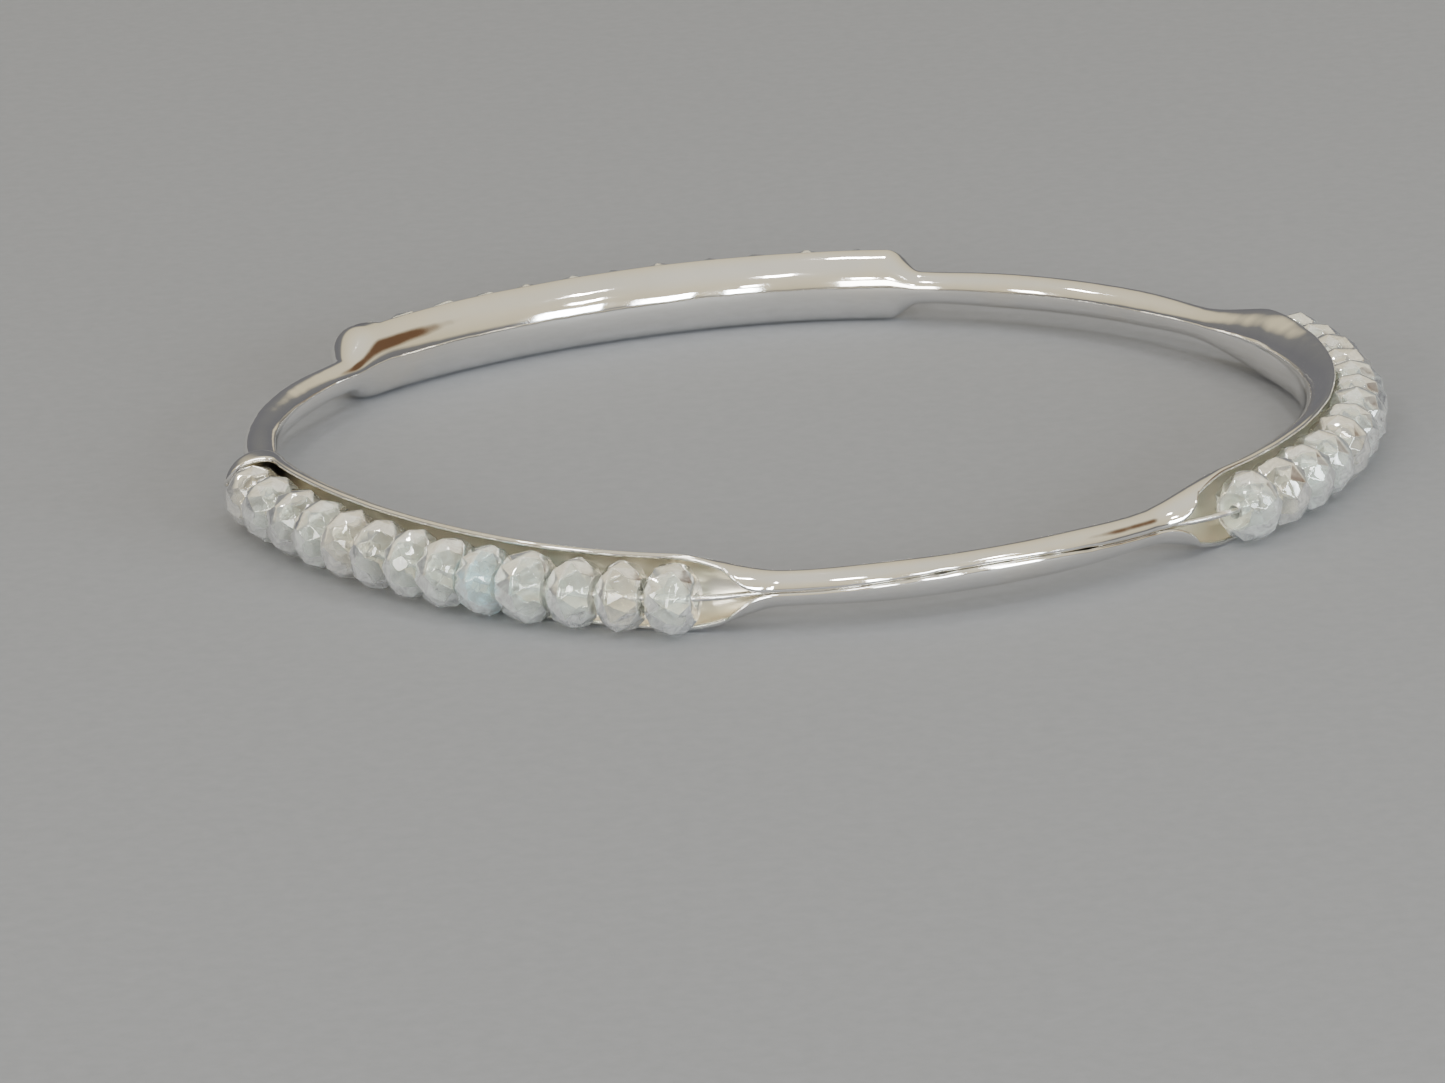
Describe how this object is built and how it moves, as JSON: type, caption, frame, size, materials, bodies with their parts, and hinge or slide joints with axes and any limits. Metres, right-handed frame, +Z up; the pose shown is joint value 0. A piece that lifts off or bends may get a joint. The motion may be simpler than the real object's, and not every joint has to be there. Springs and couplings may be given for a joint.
{
  "type": "bangle bracelet",
  "caption": "Slip-on silver bangle formed from one folded strip, its closed tube lengths opening into outward troughs that hold wired rows of faceted rondelle beads.",
  "frame": {"origin": "middle of the bangle's outline, on the level it lies on", "axes": "+Z up through the wrist opening, perpendicular to the ring; -Y towards the front, where a bead row ends and a tube length begins"},
  "size_m": [0.0742, 0.0768, 0.0049],
  "materials": {
    "polished_silver": "polished",
    "silver_wire": "polished",
    "bead_clear": "polished",
    "bead_milky": "polished",
    "bead_champagne": "polished"
  },
  "bodies": {
    "bangle": {"band": "polished_silver", "wire_f": "silver_wire", "wire_r": "silver_wire", "wire_b": "silver_wire"},
    "bead_f01": {"bead_f01": "bead_champagne"},
    "bead_f02": {"bead_f02": "bead_milky"},
    "bead_f03": {"bead_f03": "bead_clear"},
    "bead_f04": {"bead_f04": "bead_milky"},
    "bead_f05": {"bead_f05": "bead_champagne"},
    "bead_f06": {"bead_f06": "bead_clear"},
    "bead_f07": {"bead_f07": "bead_milky"},
    "bead_f08": {"bead_f08": "bead_milky"},
    "bead_f09": {"bead_f09": "bead_clear"},
    "bead_f10": {"bead_f10": "bead_milky"},
    "bead_f11": {"bead_f11": "bead_milky"},
    "bead_f12": {"bead_f12": "bead_champagne"},
    "bead_f13": {"bead_f13": "bead_milky"},
    "bead_r01": {"bead_r01": "bead_milky"},
    "bead_r02": {"bead_r02": "bead_champagne"},
    "bead_r03": {"bead_r03": "bead_milky"},
    "bead_r04": {"bead_r04": "bead_milky"},
    "bead_r05": {"bead_r05": "bead_champagne"},
    "bead_r06": {"bead_r06": "bead_milky"},
    "bead_r07": {"bead_r07": "bead_milky"},
    "bead_r08": {"bead_r08": "bead_clear"},
    "bead_r09": {"bead_r09": "bead_milky"},
    "bead_r10": {"bead_r10": "bead_champagne"},
    "bead_r11": {"bead_r11": "bead_clear"},
    "bead_r12": {"bead_r12": "bead_milky"},
    "bead_r13": {"bead_r13": "bead_milky"},
    "bead_b01": {"bead_b01": "bead_milky"},
    "bead_b02": {"bead_b02": "bead_clear"},
    "bead_b03": {"bead_b03": "bead_champagne"},
    "bead_b04": {"bead_b04": "bead_milky"},
    "bead_b05": {"bead_b05": "bead_clear"},
    "bead_b06": {"bead_b06": "bead_milky"},
    "bead_b07": {"bead_b07": "bead_milky"},
    "bead_b08": {"bead_b08": "bead_champagne"},
    "bead_b09": {"bead_b09": "bead_milky"},
    "bead_b10": {"bead_b10": "bead_milky"},
    "bead_b11": {"bead_b11": "bead_clear"},
    "bead_b12": {"bead_b12": "bead_milky"}
  },
  "joints": [
    {"name": "bead_f01_spin", "type": "hinge", "parent": "bangle", "child": "bead_f01", "pos_m": [-0.03488, -0.00982, 0.00242], "axis": [0.3654, -0.9309, 0], "continuous": true},
    {"name": "bead_f02_spin", "type": "hinge", "parent": "bangle", "child": "bead_f02", "pos_m": [-0.03353, -0.0129, 0.00242], "axis": [0.4354, -0.9002, 0], "continuous": true},
    {"name": "bead_f03_spin", "type": "hinge", "parent": "bangle", "child": "bead_f03", "pos_m": [-0.03192, -0.01595, 0.00242], "axis": [0.4966, -0.868, 0], "continuous": true},
    {"name": "bead_f04_spin", "type": "hinge", "parent": "bangle", "child": "bead_f04", "pos_m": [-0.0302, -0.01876, 0.00242], "axis": [0.5479, -0.8366, 0], "continuous": true},
    {"name": "bead_f05_spin", "type": "hinge", "parent": "bangle", "child": "bead_f05", "pos_m": [-0.02837, -0.02138, 0.00242], "axis": [0.5943, -0.8042, 0], "continuous": true},
    {"name": "bead_f06_spin", "type": "hinge", "parent": "bangle", "child": "bead_f06", "pos_m": [-0.02646, -0.02381, 0.00242], "axis": [0.6391, -0.7691, 0], "continuous": true},
    {"name": "bead_f07_spin", "type": "hinge", "parent": "bangle", "child": "bead_f07", "pos_m": [-0.02448, -0.02606, 0.00242], "axis": [0.6841, -0.7294, 0], "continuous": true},
    {"name": "bead_f08_spin", "type": "hinge", "parent": "bangle", "child": "bead_f08", "pos_m": [-0.02229, -0.02824, 0.00242], "axis": [0.7329, -0.6803, 0], "continuous": true},
    {"name": "bead_f09_spin", "type": "hinge", "parent": "bangle", "child": "bead_f09", "pos_m": [-0.01998, -0.03023, 0.00242], "axis": [0.7823, -0.6229, 0], "continuous": true},
    {"name": "bead_f10_spin", "type": "hinge", "parent": "bangle", "child": "bead_f10", "pos_m": [-0.01738, -0.03212, 0.00242], "axis": [0.8343, -0.5513, 0], "continuous": true},
    {"name": "bead_f11_spin", "type": "hinge", "parent": "bangle", "child": "bead_f11", "pos_m": [-0.01448, -0.03384, 0.00242], "axis": [0.8855, -0.4647, 0], "continuous": true},
    {"name": "bead_f12_spin", "type": "hinge", "parent": "bangle", "child": "bead_f12", "pos_m": [-0.01165, -0.03515, 0.00242], "axis": [0.9272, -0.3746, 0], "continuous": true},
    {"name": "bead_f13_spin", "type": "hinge", "parent": "bangle", "child": "bead_f13", "pos_m": [-0.00868, -0.03617, 0.00242], "axis": [0.9612, -0.2759, 0], "continuous": true},
    {"name": "bead_r01_spin", "type": "hinge", "parent": "bangle", "child": "bead_r01", "pos_m": [0.02657, -0.02291, 0.00242], "axis": [0.6167, 0.7872, 0], "continuous": true},
    {"name": "bead_r02_spin", "type": "hinge", "parent": "bangle", "child": "bead_r02", "pos_m": [0.02853, -0.02019, 0.00242], "axis": [0.5514, 0.8342, 0], "continuous": true},
    {"name": "bead_r03_spin", "type": "hinge", "parent": "bangle", "child": "bead_r03", "pos_m": [0.03024, -0.01735, 0.00242], "axis": [0.4812, 0.8766, 0], "continuous": true},
    {"name": "bead_r04_spin", "type": "hinge", "parent": "bangle", "child": "bead_r04", "pos_m": [0.03168, -0.01445, 0.00242], "axis": [0.4069, 0.9135, 0], "continuous": true},
    {"name": "bead_r05_spin", "type": "hinge", "parent": "bangle", "child": "bead_r05", "pos_m": [0.03287, -0.01145, 0.00242], "axis": [0.3278, 0.9448, 0], "continuous": true},
    {"name": "bead_r06_spin", "type": "hinge", "parent": "bangle", "child": "bead_r06", "pos_m": [0.0338, -0.00832, 0.00242], "axis": [0.2425, 0.9701, 0], "continuous": true},
    {"name": "bead_r07_spin", "type": "hinge", "parent": "bangle", "child": "bead_r07", "pos_m": [0.03446, -0.00507, 0.00242], "axis": [0.1522, 0.9884, 0], "continuous": true},
    {"name": "bead_r08_spin", "type": "hinge", "parent": "bangle", "child": "bead_r08", "pos_m": [0.03481, -0.00184, 0.00242], "axis": [0.0618, 0.9981, 0], "continuous": true},
    {"name": "bead_r09_spin", "type": "hinge", "parent": "bangle", "child": "bead_r09", "pos_m": [0.03486, 0.00135, 0.00242], "axis": [-0.0277, 0.9996, 0], "continuous": true},
    {"name": "bead_r10_spin", "type": "hinge", "parent": "bangle", "child": "bead_r10", "pos_m": [0.03463, 0.00459, 0.00242], "axis": [-0.1175, 0.9931, 0], "continuous": true},
    {"name": "bead_r11_spin", "type": "hinge", "parent": "bangle", "child": "bead_r11", "pos_m": [0.0341, 0.00781, 0.00242], "axis": [-0.2057, 0.9786, 0], "continuous": true},
    {"name": "bead_r12_spin", "type": "hinge", "parent": "bangle", "child": "bead_r12", "pos_m": [0.03327, 0.011, 0.00242], "axis": [-0.2914, 0.9566, 0], "continuous": true},
    {"name": "bead_r13_spin", "type": "hinge", "parent": "bangle", "child": "bead_r13", "pos_m": [0.03222, 0.01399, 0.00242], "axis": [-0.3707, 0.9288, 0], "continuous": true},
    {"name": "bead_b01_spin", "type": "hinge", "parent": "bangle", "child": "bead_b01", "pos_m": [0.00367, 0.03615, 0.00242], "axis": [-0.9958, 0.0915, 0], "continuous": true},
    {"name": "bead_b02_spin", "type": "hinge", "parent": "bangle", "child": "bead_b02", "pos_m": [0.00043, 0.0363, 0.00242], "axis": [-1, -0.0031, 0], "continuous": true},
    {"name": "bead_b03_spin", "type": "hinge", "parent": "bangle", "child": "bead_b03", "pos_m": [-0.00286, 0.03613, 0.00242], "axis": [-0.9955, -0.0949, 0], "continuous": true},
    {"name": "bead_b04_spin", "type": "hinge", "parent": "bangle", "child": "bead_b04", "pos_m": [-0.00614, 0.03567, 0.00242], "axis": [-0.9834, -0.1815, 0], "continuous": true},
    {"name": "bead_b05_spin", "type": "hinge", "parent": "bangle", "child": "bead_b05", "pos_m": [-0.00933, 0.03495, 0.00242], "axis": [-0.9655, -0.2605, 0], "continuous": true},
    {"name": "bead_b06_spin", "type": "hinge", "parent": "bangle", "child": "bead_b06", "pos_m": [-0.01238, 0.034, 0.00242], "axis": [-0.9432, -0.3322, 0], "continuous": true},
    {"name": "bead_b07_spin", "type": "hinge", "parent": "bangle", "child": "bead_b07", "pos_m": [-0.01538, 0.03282, 0.00242], "axis": [-0.9166, -0.3999, 0], "continuous": true},
    {"name": "bead_b08_spin", "type": "hinge", "parent": "bangle", "child": "bead_b08", "pos_m": [-0.01837, 0.03138, 0.00242], "axis": [-0.8845, -0.4666, 0], "continuous": true},
    {"name": "bead_b09_spin", "type": "hinge", "parent": "bangle", "child": "bead_b09", "pos_m": [-0.02114, 0.02979, 0.00242], "axis": [-0.8482, -0.5297, 0], "continuous": true},
    {"name": "bead_b10_spin", "type": "hinge", "parent": "bangle", "child": "bead_b10", "pos_m": [-0.02384, 0.02795, 0.00242], "axis": [-0.8043, -0.5942, 0], "continuous": true},
    {"name": "bead_b11_spin", "type": "hinge", "parent": "bangle", "child": "bead_b11", "pos_m": [-0.02643, 0.02587, 0.00242], "axis": [-0.7512, -0.6601, 0], "continuous": true},
    {"name": "bead_b12_spin", "type": "hinge", "parent": "bangle", "child": "bead_b12", "pos_m": [-0.02878, 0.02361, 0.00242], "axis": [-0.6891, -0.7247, 0], "continuous": true}
  ]
}
